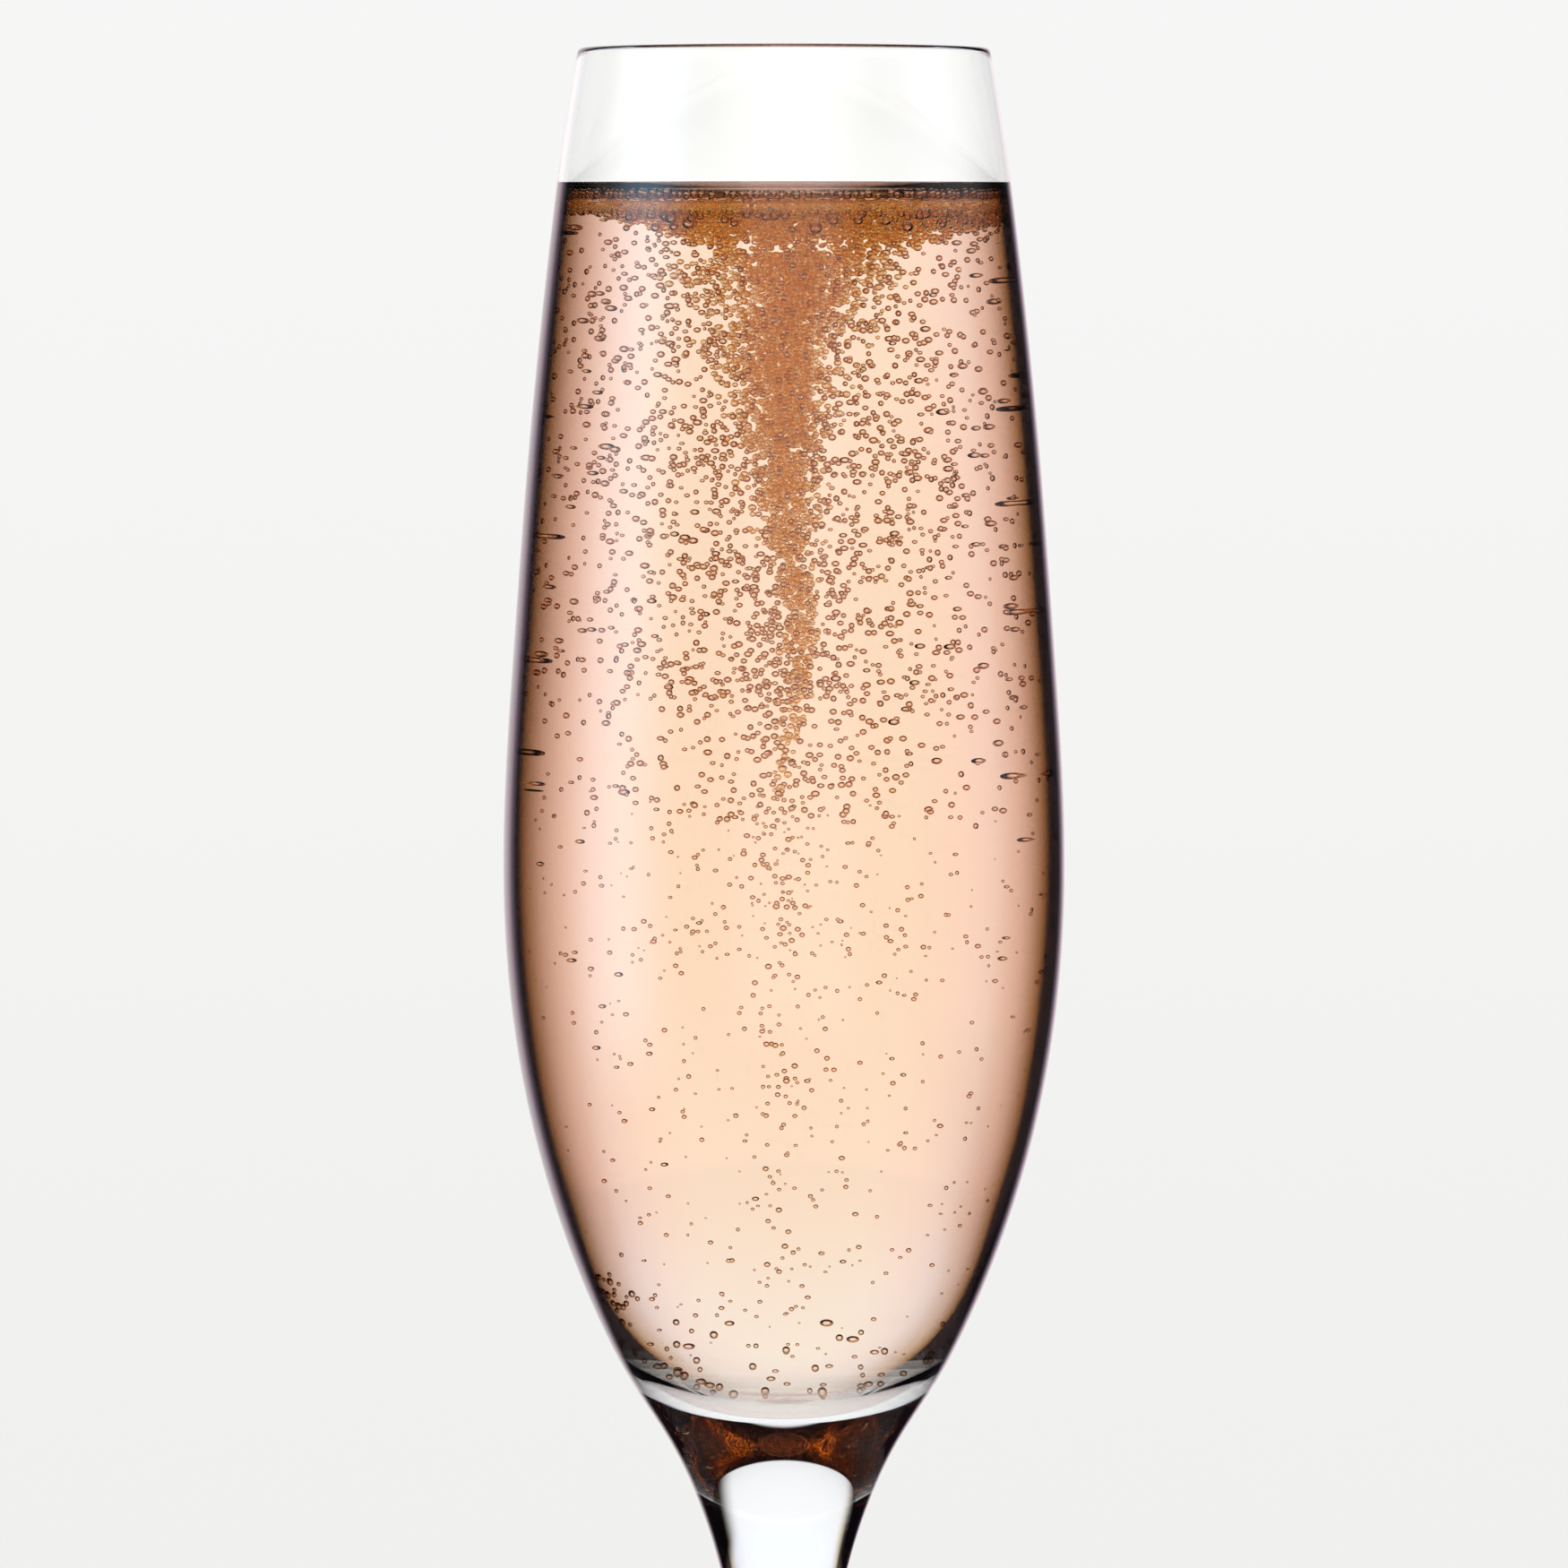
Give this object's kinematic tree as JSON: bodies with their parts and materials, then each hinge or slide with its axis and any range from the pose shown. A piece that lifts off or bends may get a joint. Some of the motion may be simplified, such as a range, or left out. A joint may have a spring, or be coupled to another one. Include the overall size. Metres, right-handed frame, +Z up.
{
  "type": "glass of sparkling wine",
  "caption": "Tall stemmed flute of clear glass filled with pink sparkling wine, with bubbles rising to the surface.",
  "frame": {"origin": "centre of the foot's underside, on the surface the glass stands on", "axes": "+Z up along the glass's axis of turning; X and Y are alike, as the glass is round"},
  "size_m": [0.066, 0.066, 0.2275],
  "materials": {
    "clear_glass": "clear polished",
    "rose_wine": "clear pink liquid"
  },
  "bodies": {
    "root": {"flute": "clear_glass", "wine": "rose_wine"}
  },
  "joints": []
}
